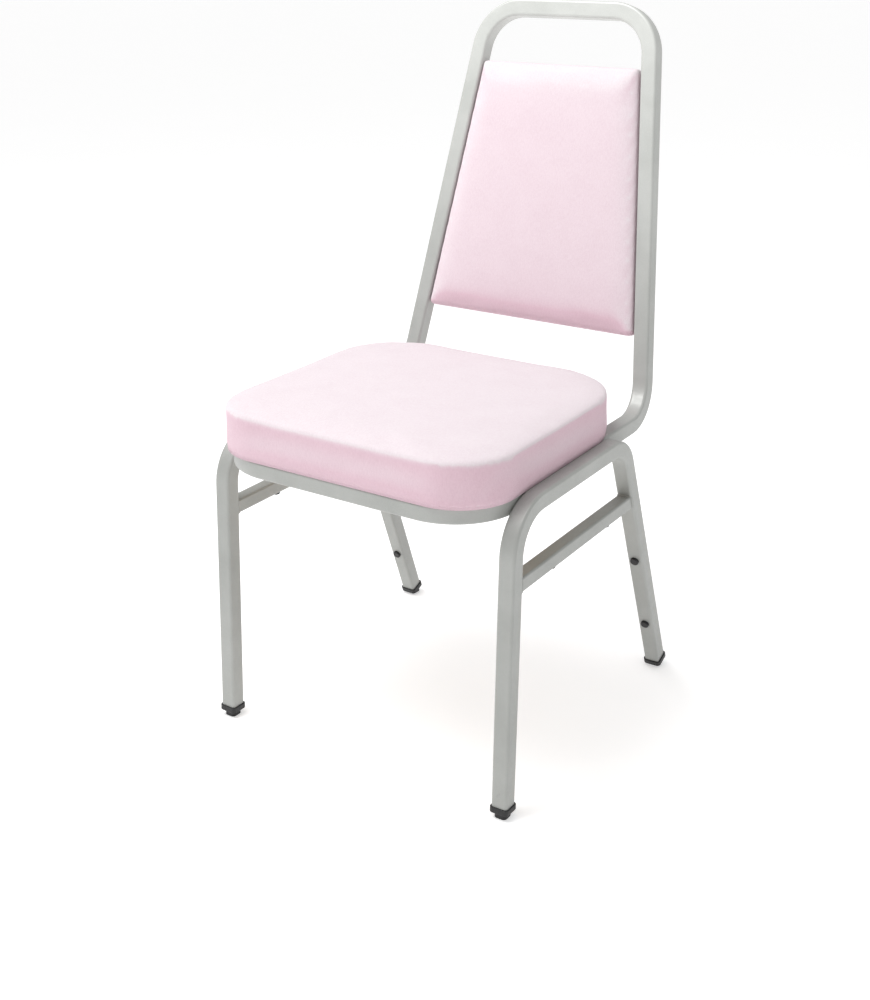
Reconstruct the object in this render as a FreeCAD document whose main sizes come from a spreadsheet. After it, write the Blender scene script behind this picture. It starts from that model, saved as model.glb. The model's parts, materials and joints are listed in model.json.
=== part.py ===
"""Stacking banquet chair: a welded frame of square steel tube with an upholstered seat and back.

Millimetres, +Z up. The sitter faces -Y. The origin is on the floor, below the middle of the bounding box.
Inside this file Y is first measured from the front feet, and every placement adds the shift to the origin.
"""

import FreeCAD, Part
import math
import os
import Sketcher
from FreeCAD import Placement, Rotation, Vector

doc = FreeCAD.newDocument("stacking_chair")
sheet = doc.addObject("Spreadsheet::Sheet", "Sizes")

SIZES = [
    # square tube
    ("tube_side", 22), ("tube_corner", 3.5), ("tube_wall", 1.2),
    ("slim_side", 19), ("slim_corner", 3), ("weld_gap", 0.2),
    # seat and back loop: its centre line
    ("rail_height", 395), ("rail_half_spacing", 189), ("rail_front", -27), ("rail_joint", 150),
    ("front_corner_radius", 76), ("upright_foot", 403), ("upright_bend_radius", 58),
    ("recline_slope", 0.2136), ("taper_slope", 0.1334), ("hoop_height", 901), ("hoop_radius", 59),
    # side leg frames: their centre line
    ("foot_half_spacing", 216), ("front_leg_top", 15), ("rear_leg_top", 290), ("rear_foot", 448),
    ("front_bend_radius", 57), ("rear_bend_radius", 48),
    # stretchers and rear cross rail
    ("stretcher_top", 315), ("cross_rail_depth", 280),
    # foot caps
    ("sole_side", 17), ("sole_corner", 5), ("collar_base", 8), ("collar_height", 8),
    ("collar_side", 26), ("collar_corner", 5), ("collar_rounding", 1), ("collar_floor", 3),
    ("plug_length", 16), ("plug_clearance", 0.2), ("floor_reach", 52),
    # stacking bumpers
    ("bumper_radius", 6), ("bumper_thickness", 4), ("bumper_rounding", 1.5),
    ("stretcher_bumper_front", 109), ("stretcher_bumper_rear", 254),
    ("leg_bumper_low", 89), ("leg_bumper_high", 207),
    # seat
    ("seat_half_width", 203), ("seat_front", -40), ("seat_back", 344), ("seat_front_radius", 76),
    ("seat_back_radius", 100), ("seat_thickness", 60), ("seat_rounding", 10),
    ("cover_skin", 2), ("seat_board_thickness", 12), ("board_rounding", 3), ("seat_fix_half_spacing", 110),
    ("seat_fix_front", 0), ("seat_fix_rear", 254),
    # back, measured up the slope from the rail height
    ("pad_bottom", 102), ("pad_top", 447), ("pad_side_gap", 1.2), ("pad_corner_radius", 6),
    ("pad_rounding", 5), ("pad_base", 3), ("pad_thickness", 12),
    ("back_board_thickness", 8), ("back_panel_thickness", 8),
    ("back_fix_low", 160), ("back_fix_high", 390), ("back_fix_inset", 18),
    ("clip_low", 215), ("clip_high", 335), ("clip_half_spacing", 70), ("clip_radius", 3), ("clip_length", 11),
    ("pocket_margin", 13),
    # fixings
    ("tab_thickness", 2.5), ("tab_width", 30), ("tab_edge", 12),
    ("screw_radius", 3), ("screw_head_radius", 6), ("screw_head_height", 3.5), ("screw_rounding", 1.5),
    ("slot_length", 6), ("slot_width", 1.2), ("slot_depth", 1.6),
    ("tee_barrel_radius", 4), ("tee_flange_radius", 9), ("tee_flange_thickness", 1.2), ("tee_length", 7),
    ("thread_gap", 0.05), ("hole_clearance", 0.3),
]
for row, (alias, value) in enumerate(SIZES, 1):
    sheet.set(f"A{row}", alias)
    sheet.set(f"B{row}", str(value))
    sheet.setAlias(f"B{row}", alias)
doc.recompute()


class Sized:
    """A value together with the sheet expression that it comes from."""

    def __init__(self, value, text):
        self.value = value
        self.text = text

    def _with(self, other, sign, value):
        text = other.text if isinstance(other, Sized) else repr(other)
        return Sized(value, f"({self.text} {sign} {text})")

    def __add__(self, other):
        return self._with(other, "+", self.value + float(other))

    def __sub__(self, other):
        return self._with(other, "-", self.value - float(other))

    def __mul__(self, other):
        return self._with(other, "*", self.value * float(other))

    def __truediv__(self, other):
        return self._with(other, "/", self.value / float(other))

    def __neg__(self):
        return Sized(-self.value, f"(-1 * {self.text})")

    def __float__(self):
        return float(self.value)


def cell(alias):
    """A driving dimension, for use in expressions."""
    return Sized(float(getattr(sheet, alias)), f"Sizes.{alias}")


def size(alias):
    """A driving dimension as a plain number."""
    return float(getattr(sheet, alias))


ZERO = Sized(0.0, "0")
FRONT_FOOT = ZERO
HALF_TUBE = size("tube_side") / 2
RAIL_Z = size("rail_height")
RAIL_X = size("rail_half_spacing")
RECLINE = math.atan(size("recline_slope"))
TAPER = cell("taper_slope") * math.cos(RECLINE)
RUN_X = RAIL_X + size("tube_side") + size("weld_gap")
SPLAY = math.degrees(math.atan((size("foot_half_spacing") - RUN_X) / RAIL_Z))
FRONT_LEAN = math.degrees(math.atan(size("front_leg_top") / RAIL_Z))
REAR_LEAN = math.degrees(math.atan((size("rear_foot") - size("rear_leg_top")) / RAIL_Z))
RAIL_TOP = cell("rail_height") + cell("tube_side") / 2
TUBE_END = cell("collar_base") + cell("collar_floor")
HOOP_Y = size("upright_foot") + (size("hoop_height") - RAIL_Z) * size("recline_slope")


def loop_reach():
    """How far behind its centre line the reclined hoop tube reaches."""
    corner = size("tube_corner")
    return (HALF_TUBE - corner) * (math.cos(RECLINE) + math.sin(RECLINE)) + corner


TO_ORIGIN = Vector(0, -(size("seat_front") + HOOP_Y + loop_reach()) / 2, 0)
SLOPE_OF_BACK = Placement(
    Vector(0, size("upright_foot"), RAIL_Z), Rotation(Vector(1, 0, 0), -math.degrees(RECLINE))
)


NODES = []
TOUCHING = 0.01


def place(part, where=Placement(), kept=True):
    """Puts a sub-part where it belongs, measured from the front feet, and adds the shift to the origin.
    kept is False for a piece that another one is cut from."""
    part.Placement = Placement(TO_ORIGIN, Rotation()) * where
    if kept:
        NODES.append(part)


def side_plane(side):
    """The plane of a side leg frame: side is 1 on the right, -1 on the left. Drawn in Y and Z at X 0."""
    top = Placement(Vector(side * RUN_X, 0, RAIL_Z), Rotation(Vector(0, 1, 0), -side * SPLAY))
    return top * Placement(Vector(0, 0, -RAIL_Z), Rotation())


# ------------------------------------------------------------- sketches and bodies


def new_body(label):
    body = doc.addObject("PartDesign::Body", label)
    body.Label = label
    return body


def new_sketch(body, role, offset=Placement()):
    """An empty sketch on one of the body's own origin planes."""
    sketch = body.newObject("Sketcher::SketchObject", body.Name + "_sketch")
    plane = next(f for f in body.Origin.OriginFeatures if f.Role == role)
    sketch.AttachmentSupport = [(plane, "")]
    sketch.MapMode = "FlatFace"
    sketch.AttachmentOffset = offset
    return sketch


def bind(sketch, name, *where):
    """Adds a driving constraint whose last item is a Sized value, and ties it to the sheet."""
    *where, value = where
    index = sketch.addConstraint(Sketcher.Constraint(name, *where, float(value)))
    if isinstance(value, Sized):
        sketch.setExpression(f"Constraints[{index}]", value.text)


def pin(sketch, vertex, x, y):
    """Fixes a vertex at x, y from the sketch's origin."""
    for name, value in (("DistanceX", x), ("DistanceY", y)):
        if float(value) == 0.0:
            axis = -2 if name == "DistanceX" else -1
            sketch.addConstraint(Sketcher.Constraint("PointOnObject", *vertex, axis))
        else:
            bind(sketch, name, -1, 1, *vertex, value)


def draw_outline(sketch, corners, radii, closed=True):
    """Straight lines joined by tangent arcs. A corner whose radius is 0 stays sharp."""
    points = [Vector(float(x), float(y), 0) for x, y in corners]
    count = len(points)
    spans = count if closed else count - 1
    enter = list(points)
    leave = list(points)
    for i in range(count):
        if float(radii[i]) > 0:
            before = (points[i - 1] - points[i]).normalize()
            after = (points[(i + 1) % count] - points[i]).normalize()
            reach = float(radii[i]) / math.tan(before.getAngle(after) / 2)
            enter[i] = points[i] + before * reach
            leave[i] = points[i] + after * reach
    lines = [
        sketch.addGeometry(Part.LineSegment(leave[i], enter[(i + 1) % count])) for i in range(spans)
    ]
    for i in range(count):
        before, after = lines[i - 1], lines[i % spans]
        if float(radii[i]) > 0:
            draw_corner(sketch, points[i], enter[i], leave[i], radii[i], before, after)
            vertex = (sketch.addGeometry(Part.Point(points[i]), True), 1)
            sketch.addConstraint(Sketcher.Constraint("PointOnObject", *vertex, before))
            sketch.addConstraint(Sketcher.Constraint("PointOnObject", *vertex, after))
        elif not closed and i == count - 1:
            vertex = (lines[-1], 2)
        else:
            vertex = (after, 1)
            if closed or i > 0:
                sketch.addConstraint(Sketcher.Constraint("Coincident", before, 2, after, 1))
        pin(sketch, vertex, *corners[i])


def draw_corner(sketch, corner, enter, leave, radius, before, after):
    """The arc that rounds one corner, tangent to the lines before and after it."""
    inward = ((enter + leave) / 2 - corner).normalize()
    centre = corner + inward * math.hypot(float(radius), (enter - corner).Length)
    turns_left = (corner - enter).cross(leave - corner).z > 0
    start, end = (enter, leave) if turns_left else (leave, enter)
    angles = [math.atan2(p.y - centre.y, p.x - centre.x) for p in (start, end)]
    circle = Part.Circle(centre, Vector(0, 0, 1), float(radius))
    arc = sketch.addGeometry(Part.ArcOfCircle(circle, *angles))
    first, last = (1, 2) if turns_left else (2, 1)
    sketch.addConstraint(Sketcher.Constraint("Tangent", before, 2, arc, first))
    sketch.addConstraint(Sketcher.Constraint("Tangent", arc, last, after, 1))
    bind(sketch, "Radius", arc, radius)


def draw_square(sketch, side, corner, height=ZERO):
    """A rounded square, centred on the sketch's vertical axis at a height."""
    half = side / 2
    corners = [
        (-half, height - half), (half, height - half), (half, height + half), (-half, height + half),
    ]
    draw_outline(sketch, corners, [corner] * 4)


def draw_circle(sketch, x, y, radius):
    circle = sketch.addGeometry(Part.Circle(Vector(float(x), float(y), 0), Vector(0, 0, 1), float(radius)))
    pin(sketch, (circle, 3), x, y)
    bind(sketch, "Radius", circle, radius)


def draw_tube_section(sketch, side, corner):
    """The wall of a square tube, between its outer and inner outlines."""
    wall = cell("tube_wall")
    draw_square(sketch, side, corner)
    draw_square(sketch, side - wall * 2, corner - wall)


def add_pad(body, sketch, length, midplane=False, reverse=False):
    pad = body.newObject("PartDesign::Pad", body.Name + "_pad")
    pad.Profile = sketch
    pad.setExpression("Length", length.text)
    pad.Midplane = midplane
    pad.Reversed = reverse
    doc.recompute()
    return pad


def add_pocket(body, sketch, length=None, midplane=False, reverse=False):
    """Cuts the sketch out of the body, right through where length is None, and checks that it did cut."""
    before = body.Shape.Volume
    pocket = body.newObject("PartDesign::Pocket", body.Name + "_pocket")
    pocket.Profile = sketch
    pocket.Midplane = midplane
    pocket.Reversed = reverse
    if length is None:
        pocket.Type = "ThroughAll"
    else:
        pocket.setExpression("Length", length.text)
    doc.recompute()
    if not body.Shape.Volume < before:
        raise RuntimeError(f"{pocket.Label} cuts nothing")
    return pocket


def add_fillet(body, radius, wanted):
    """Rounds the edges of the body's last feature that wanted(edge) picks."""
    base = body.Tip
    names = [f"Edge{i}" for i, edge in enumerate(base.Shape.Edges, 1) if wanted(edge)]
    fillet = body.newObject("PartDesign::Fillet", body.Name + "_fillet")
    fillet.Base = (base, names)
    fillet.setExpression("Radius", radius.text)
    doc.recompute()
    return fillet


def add_pipe(body, profile, path):
    pipe = body.newObject("PartDesign::AdditivePipe", body.Name + "_pipe")
    pipe.Profile = profile
    pipe.Spine = path
    doc.recompute()
    return pipe


def at_height(height):
    """Makes a test: is every end of an edge at this height in its body?"""
    return lambda edge: all(abs(v.Z - height) < TOUCHING for v in edge.Vertexes)


def at_z(height):
    """An offset of this much along Z, or along a sketch plane's normal."""
    return Placement(Vector(0, 0, float(height)), Rotation())


def cut_away(label, base, tool):
    """A sub-part: what is left of the base when the tool is taken out."""
    cut = doc.addObject("Part::Cut", label)
    cut.Label = label
    cut.Base = base
    cut.Tool = tool
    NODES.append(cut)


# ------------------------------------------------------------------- welded frame


def leg_depth(height, foot, top):
    """Depth of a leg's centre line at a height, between its foot and the run at the top."""
    return foot + (top - foot) * height / cell("rail_height")


def leg_ends():
    """Where the tube of the front leg and of the rear leg ends, inside the foot caps, as (depth, height)."""
    front_height = TUBE_END * math.cos(math.radians(FRONT_LEAN))
    rear_height = TUBE_END * math.cos(math.radians(REAR_LEAN))
    front = (leg_depth(front_height, FRONT_FOOT, cell("front_leg_top")), front_height)
    rear = (leg_depth(rear_height, cell("rear_foot"), cell("rear_leg_top")), rear_height)
    return front, rear


def make_leg_frame(label, side):
    """An inverted U of tube: front leg, run beside the seat rail, rear leg."""
    body = new_body(label)
    front, rear = leg_ends()
    profile = new_sketch(
        body, "XY_Plane",
        Placement(Vector(0, float(front[0]), float(front[1])), Rotation(Vector(1, 0, 0), -FRONT_LEAN)),
    )
    draw_tube_section(profile, cell("tube_side"), cell("tube_corner"))
    path = new_sketch(body, "YZ_Plane")
    corners = [
        front,
        (cell("front_leg_top"), cell("rail_height")),
        (cell("rear_leg_top"), cell("rail_height")),
        rear,
    ]
    draw_outline(path, corners, [0, cell("front_bend_radius"), cell("rear_bend_radius"), 0], closed=False)
    doc.recompute()
    add_pipe(body, profile, path)
    place(body, side_plane(side))


def make_seat_front_tube():
    """The U that closes the loop at the front of the seat."""
    body = new_body("seat_front_tube")
    profile = new_sketch(
        body, "XZ_Plane", Placement(Vector(RAIL_X, RAIL_Z, -size("rail_joint")), Rotation())
    )
    draw_tube_section(profile, cell("tube_side"), cell("tube_corner"))
    path = new_sketch(body, "XY_Plane", Placement(Vector(0, 0, RAIL_Z), Rotation()))
    half = cell("rail_half_spacing")
    corners = [
        (half, cell("rail_joint")), (half, cell("rail_front")),
        (-half, cell("rail_front")), (-half, cell("rail_joint")),
    ]
    radius = cell("front_corner_radius")
    draw_outline(path, corners, [0, radius, radius, 0], closed=False)
    doc.recompute()
    add_pipe(body, profile, path)
    place(body)


def make_straight_tube(label, side, corner, half_length, where):
    """A tube along the body's own X axis."""
    body = new_body(label)
    profile = new_sketch(body, "YZ_Plane")
    draw_tube_section(profile, side, corner)
    add_pad(body, profile, half_length * 2, midplane=True)
    place(body, where)


def make_stretcher(label, side):
    """The slimmer tube between the legs of one side, its ends cut to lie on them."""
    body = new_body(label)
    slim = cell("slim_side")
    top = cell("stretcher_top")
    bottom = top - slim
    reach = cell("tube_side") / 2

    def front_end(height):
        middle = leg_depth(height, FRONT_FOOT, cell("front_leg_top"))
        return middle + reach / math.cos(math.radians(FRONT_LEAN))

    def rear_end(height):
        middle = leg_depth(height, cell("rear_foot"), cell("rear_leg_top"))
        return middle - reach / math.cos(math.radians(REAR_LEAN))

    outline = new_sketch(body, "YZ_Plane")
    corners = [
        (front_end(bottom), bottom), (rear_end(bottom), bottom), (rear_end(top), top), (front_end(top), top),
    ]
    draw_outline(outline, corners, [0] * 4)
    add_pad(body, outline, slim, midplane=True)
    add_fillet(body, cell("slim_corner"), lambda edge: edge.Length > float(slim) * 2)
    bore = new_sketch(body, "XZ_Plane")
    wall = cell("tube_wall")
    draw_square(bore, slim - wall * 2, cell("slim_corner") - wall, top - slim / 2)
    add_pocket(body, bore, midplane=True)
    place(body, side_plane(side))


def tube_section(centre, across, normal):
    """The tube's outer and inner outlines. across and normal are the directions of the section's sides."""
    along = across.cross(normal).normalize()
    turn = Rotation(across, normal, along, "XYZ")
    outlines = []
    for inset in (0.0, size("tube_wall")):
        half = HALF_TUBE - inset
        flat = half - (size("tube_corner") - inset)
        diagonal = flat + (half - flat) / math.sqrt(2)
        edges = []
        for quarter in range(4):
            spin = Rotation(Vector(0, 0, 1), 90 * quarter)
            points = [(half, -flat), (half, flat), (diagonal, diagonal), (flat, half)]
            low, high, bulge, end = [centre + turn.multVec(spin.multVec(Vector(*p, 0))) for p in points]
            edges.append(Part.LineSegment(low, high).toShape())
            edges.append(Part.Arc(high, bulge, end).toShape())
        outlines.append(Part.Wire(edges))
    return outlines


def straight_run(start, end, across, normal):
    wall = Part.makeFace(tube_section(start, across, normal), "Part::FaceMakerBullseye")
    return wall.extrude(end - start)


def flat_bend(start, centre, axis, angle, across, normal):
    """A bend in one plane, turned about an axis."""
    wall = Part.makeFace(tube_section(start, across, normal), "Part::FaceMakerBullseye")
    return wall.revolve(centre, axis, angle)


def twisted_bend(start, centre, axis, angle, across, normal, roll, steps=8):
    """A bend along which the section also rolls about the tube by a few degrees."""
    outers, inners = [], []
    for step in range(steps + 1):
        turn = Rotation(axis, angle * step / steps)
        point = centre + turn.multVec(start - centre)
        travel = turn.multVec(normal.cross(across))
        twist = Rotation(travel, roll * step / steps)
        turned = [twist.multVec(turn.multVec(side)) for side in (across, normal)]
        section = tube_section(point, *turned)
        outers.append(section[0])
        inners.append(section[1])
    return Part.makeLoft(outers, True).cut(Part.makeLoft(inners, True))


def make_back_tube():
    """One bent tube: seat rail, bend, upright, hoop and down again. It bends in three planes."""
    right = Vector(1, 0, 0)
    up = Vector(0, 0, 1)
    rearward = Vector(0, 1, 0)
    climb = Vector(-size("taper_slope"), size("recline_slope"), 1).normalize()
    forward = Vector(0, -math.cos(RECLINE), math.sin(RECLINE))
    across = climb.cross(forward).normalize()

    knee = Vector(RAIL_X, size("upright_foot"), RAIL_Z)
    bend_angle = math.degrees(rearward.getAngle(climb))
    bend_axis = rearward.cross(climb).normalize()
    bend_reach = size("upright_bend_radius") * math.tan(math.radians(bend_angle) / 2)
    bend_start = knee - rearward * bend_reach
    bend_end = knee + climb * bend_reach
    bend_centre = bend_start + bend_axis.cross(rearward) * size("upright_bend_radius")
    turned = Rotation(bend_axis, bend_angle)
    carried = turned.multVec(right)
    roll = math.degrees(carried.getAngle(across))
    if carried.cross(across).dot(climb) < 0:
        roll = -roll

    rise = (size("hoop_height") - RAIL_Z) / climb.z
    shoulder = knee + climb * rise
    inward = Vector(-1, 0, 0)
    hoop_angle = math.degrees(climb.getAngle(inward))
    hoop_axis = climb.cross(inward).normalize()
    hoop_reach = size("hoop_radius") * math.tan(math.radians(hoop_angle) / 2)
    hoop_start = shoulder - climb * hoop_reach
    hoop_end = shoulder + inward * hoop_reach
    hoop_centre = hoop_start + hoop_axis.cross(climb) * size("hoop_radius")
    hoop_across = Rotation(hoop_axis, hoop_angle).multVec(across)

    joint = Vector(RAIL_X, size("rail_joint"), RAIL_Z)
    half = [
        straight_run(joint, bend_start, right, up),
        twisted_bend(bend_start, bend_centre, bend_axis, bend_angle, right, up, roll),
        straight_run(bend_end, hoop_start, across, forward),
        flat_bend(hoop_start, hoop_centre, hoop_axis, hoop_angle, across, forward),
        straight_run(hoop_end, Vector(0, hoop_end.y, hoop_end.z), hoop_across, forward),
    ]
    whole = half + [piece.mirror(Vector(0, 0, 0), right) for piece in half]
    tube = doc.addObject("Part::Feature", "back_tube")
    tube.Shape = whole[0].multiFuse(whole[1:]).removeSplitter()
    place(tube)


# -------------------------------------------------------------- feet and bumpers


def make_foot_cap(label, side, foot, lean):
    """A plastic cap: a plug in the tube, a collar round its end and a smaller sole, level with the floor."""
    body = new_body("whole_" + label)
    below = cell("collar_base")
    clearance = cell("plug_clearance") * 2

    def block(height, side_length, corner, length):
        sketch = new_sketch(body, "XY_Plane", at_z(height))
        draw_square(sketch, side_length, corner)
        add_pad(body, sketch, length)

    block(-below, cell("sole_side"), cell("sole_corner"), below * 2)
    block(below, cell("collar_side"), cell("collar_corner"), cell("collar_height"))
    rims = (float(below), float(below + cell("collar_height")))
    add_fillet(
        body, cell("collar_rounding"),
        lambda edge: any(at_height(rim)(edge) for rim in rims) and not inside_sole(edge),
    )
    socket = new_sketch(body, "XY_Plane", at_z(TUBE_END))
    draw_square(socket, cell("tube_side") + clearance, cell("tube_corner"))
    add_pocket(body, socket, cell("collar_height"), reverse=True)
    bore = cell("tube_side") - cell("tube_wall") * 2 - clearance
    block(TUBE_END, bore, cell("tube_corner") - cell("tube_wall"), cell("plug_length"))
    place(body, side_plane(side) * Placement(Vector(0, foot, 0), Rotation(Vector(1, 0, 0), lean)), kept=False)

    floor = doc.addObject("Part::Box", "floor_" + label)
    floor.setExpression("Length", "2 * Sizes.floor_reach")
    floor.setExpression("Width", "2 * Sizes.floor_reach")
    floor.setExpression("Height", "Sizes.floor_reach")
    reach = size("floor_reach")
    corner = Vector(side * size("foot_half_spacing") - reach, foot - reach, -reach)
    place(floor, Placement(corner, Rotation()), kept=False)
    cut_away(label, body, floor)


def inside_sole(edge):
    """Is the edge on the outline of a foot cap's sole?"""
    half = size("sole_side") / 2 + size("plug_clearance")
    return all(abs(v.X) < half and abs(v.Y) < half for v in edge.Vertexes)


def moved(solid, where):
    copy = solid.copy()
    copy.Placement = where * copy.Placement
    return copy


def repeat(solid, places):
    return [moved(solid, where) for where in places]


def at(x, y, z):
    return Placement(Vector(float(x), float(y), float(z)), Rotation())


def make_group(label, solids, where=Placement()):
    """Separate solids of one kind, kept as one sub-part."""
    group = doc.addObject("Part::Feature", label)
    group.Label = label
    group.Shape = Part.makeCompound(solids)
    place(group, where)


def rounded_disc(radius, thickness, rounding):
    """A disc on Z 0 whose upper edge is rounded."""
    disc = Part.makeCylinder(radius, thickness)
    rim = [edge for edge in disc.Edges if edge.Closed and edge.BoundBox.ZMin > thickness - TOUCHING]
    return disc.makeFillet(rounding, rim)


def bumper():
    return rounded_disc(size("bumper_radius"), size("bumper_thickness"), size("bumper_rounding"))


def make_stretcher_bumpers(label, side):
    """Under a stretcher, where it rests on the leg frame of the chair below in a stack."""
    bottom = size("stretcher_top") - size("slim_side")
    down = Rotation(Vector(1, 0, 0), 180)
    depths = (size("stretcher_bumper_front"), size("stretcher_bumper_rear"))
    solids = [moved(bumper(), Placement(Vector(0, depth, bottom), down)) for depth in depths]
    make_group(label, solids, side_plane(side))


def make_leg_bumpers(label, side):
    """On the front of a rear leg, where it meets the rear leg of the chair below."""
    forward = Rotation(Vector(1, 0, 0), 90 + REAR_LEAN)
    solids = []
    for height in (size("leg_bumper_low"), size("leg_bumper_high")):
        depth = float(leg_depth(height, cell("rear_foot"), cell("rear_leg_top")))
        face = Vector(0, depth, height) + forward.multVec(Vector(0, 0, HALF_TUBE))
        solids.append(moved(bumper(), Placement(face, forward)))
    make_group(label, solids, side_plane(side))


# ----------------------------------------------------------------------- fixings


def screw(length):
    """A pan-head screw pointing up, its head below Z 0."""
    head = rounded_disc(size("screw_head_radius"), size("screw_head_height"), size("screw_rounding"))
    head = moved(head, Placement(Vector(), Rotation(Vector(1, 0, 0), 180)))
    whole = head.fuse(Part.makeCylinder(size("screw_radius"), length))
    for turn in (0, 90):
        slot = Part.makeBox(
            size("slot_length"), size("slot_width"), size("slot_depth"),
            Vector(-size("slot_length") / 2, -size("slot_width") / 2, -size("screw_head_height")),
        )
        whole = whole.cut(moved(slot, Placement(Vector(), Rotation(Vector(0, 0, 1), turn))))
    return whole


def tee_nut():
    """A flange with its top on Z 0 and a threaded barrel below it."""
    def below(radius, length):
        return Part.makeCylinder(radius, length, Vector(0, 0, -length))

    length = size("tee_length")
    flange = below(size("tee_flange_radius"), size("tee_flange_thickness"))
    barrel = below(size("tee_barrel_radius"), length)
    return flange.fuse(barrel).cut(below(size("screw_radius") + size("thread_gap"), length))


def plate_with_hole(corners, thickness, hole):
    """A flat plate of these corners, as thick as said along Z, with a clearance hole for a screw."""
    plate = Part.Face(Part.makePolygon(corners + corners[:1])).extrude(Vector(0, 0, thickness))
    radius = size("screw_radius") + size("hole_clearance")
    return plate.cut(Part.makeCylinder(radius, thickness, hole))


def draw_holes(body, role, height, spots, radius):
    """A sketch of round holes for parts of this radius, with clearance."""
    sketch = new_sketch(body, role, at_z(height))
    for x, y in spots:
        draw_circle(sketch, x, y, radius + cell("hole_clearance"))
    return sketch


def cut_tee_holes(body, role, height, spots):
    """Holes for the tee nuts right through a board, and recesses for their flanges in its upper face."""
    add_pocket(body, draw_holes(body, role, height, spots, cell("tee_barrel_radius")), midplane=True)
    recess = draw_holes(body, role, height, spots, cell("tee_flange_radius"))
    add_pocket(body, recess, cell("tee_flange_thickness"))


# -------------------------------------------------------------------------- seat


def seat_block(label, inset, bottom, top, rounding=None):
    """A slab of the seat's outline between two heights."""
    body = new_body(label)
    sketch = new_sketch(body, "XY_Plane", at_z(bottom))
    half = cell("seat_half_width") - inset
    front = cell("seat_front") + inset
    back = cell("seat_back") - inset
    radii = [cell("seat_front_radius") - inset] * 2 + [cell("seat_back_radius") - inset] * 2
    draw_outline(sketch, [(-half, front), (half, front), (half, back), (-half, back)], radii)
    add_pad(body, sketch, top - bottom)
    if rounding is not None:
        add_fillet(body, rounding, at_height(float(top)))
    return body


def make_seat():
    skin = cell("cover_skin")
    board_top = RAIL_TOP + cell("seat_board_thickness")
    cover_top = RAIL_TOP + cell("seat_thickness")
    spots = seat_spots()

    board = seat_block("seat_board", skin, RAIL_TOP, board_top)
    add_fillet(board, cell("board_rounding"), at_height(float(RAIL_TOP)))
    cut_tee_holes(board, "XY_Plane", board_top, spots)
    place(board)

    foam = seat_block("seat_foam", skin, board_top, cover_top - skin, cell("seat_rounding") - skin)
    place(foam)

    outer = seat_block("whole_seat_cover", ZERO, RAIL_TOP, cover_top, cell("seat_rounding"))
    inner = seat_block("hollow_seat_cover", skin, RAIL_TOP, cover_top - skin, cell("seat_rounding") - skin)
    for block in (outer, inner):
        place(block, kept=False)
    cut_away("seat_cover", outer, inner)

    under_tab = RAIL_TOP - cell("tab_thickness")
    screw_length = size("tab_thickness") + size("seat_board_thickness")
    make_group("seat_screws", repeat(screw(screw_length), [at(x, y, under_tab) for x, y in spots]))
    make_group("seat_tee_nuts", repeat(tee_nut(), [at(x, y, board_top) for x, y in spots]))
    make_group("seat_fixing_tabs", [seat_tab(x, y, float(under_tab)) for x, y in spots])


def seat_spots():
    """Where the seat board is screwed down."""
    half = cell("seat_fix_half_spacing")
    return [(x, y) for y in (cell("seat_fix_front"), cell("seat_fix_rear")) for x in (-half, half)]


def seat_tab(x, y, height):
    """A plate welded to the front rail or to the rear cross rail, under the board."""
    x, y = float(x), float(y)
    half = size("tab_width") / 2
    if y < size("seat_fix_rear"):
        near = size("rail_front") + HALF_TUBE
        far = y + size("tab_edge")
    else:
        near = y - size("tab_edge")
        far = size("cross_rail_depth") - HALF_TUBE
    corners = [Vector(x + dx, depth, height) for dx, depth in
               ((-half, near), (half, near), (half, far), (-half, far))]
    return plate_with_hole(corners, size("tab_thickness"), Vector(x, y, height))


# -------------------------------------------------------------------------- back


def upright_inner(climb):
    """Half the clear width between the uprights, at a distance up the slope."""
    to_face = cell("tube_side") / 2 / math.cos(math.atan(float(TAPER)))
    return cell("rail_half_spacing") - TAPER * climb - to_face


def back_block(label, inset, base, thickness, rounding=None):
    """A slab of the back's outline. base is measured forward from the middle of the uprights."""
    body = new_body(label)
    sketch = new_sketch(body, "XZ_Plane", at_z(base))
    low = cell("pad_bottom") + inset
    high = cell("pad_top") - inset
    edge = cell("pad_side_gap") + inset
    wide = upright_inner(low) - edge
    narrow = upright_inner(high) - edge
    radius = cell("pad_corner_radius")
    draw_outline(sketch, [(-wide, low), (wide, low), (narrow, high), (-narrow, high)], [radius] * 4)
    add_pad(body, sketch, thickness)
    if rounding is not None:
        front = -(float(base) + float(thickness))
        add_fillet(body, rounding, lambda edge: all(abs(v.Y - front) < TOUCHING for v in edge.Vertexes))
    return body


def back_spots():
    """Where the back board is screwed to its tabs, in the plane of the back."""
    spots = []
    for climb in (cell("back_fix_low"), cell("back_fix_high")):
        x = upright_inner(climb) - cell("back_fix_inset")
        spots += [(-x, climb), (x, climb)]
    return spots


def from_behind(x, climb, forward):
    """A placement in the plane of the back whose Z points forward, out of the front of the chair."""
    return Placement(Vector(float(x), -float(forward), float(climb)), Rotation(Vector(1, 0, 0), 90))


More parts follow.
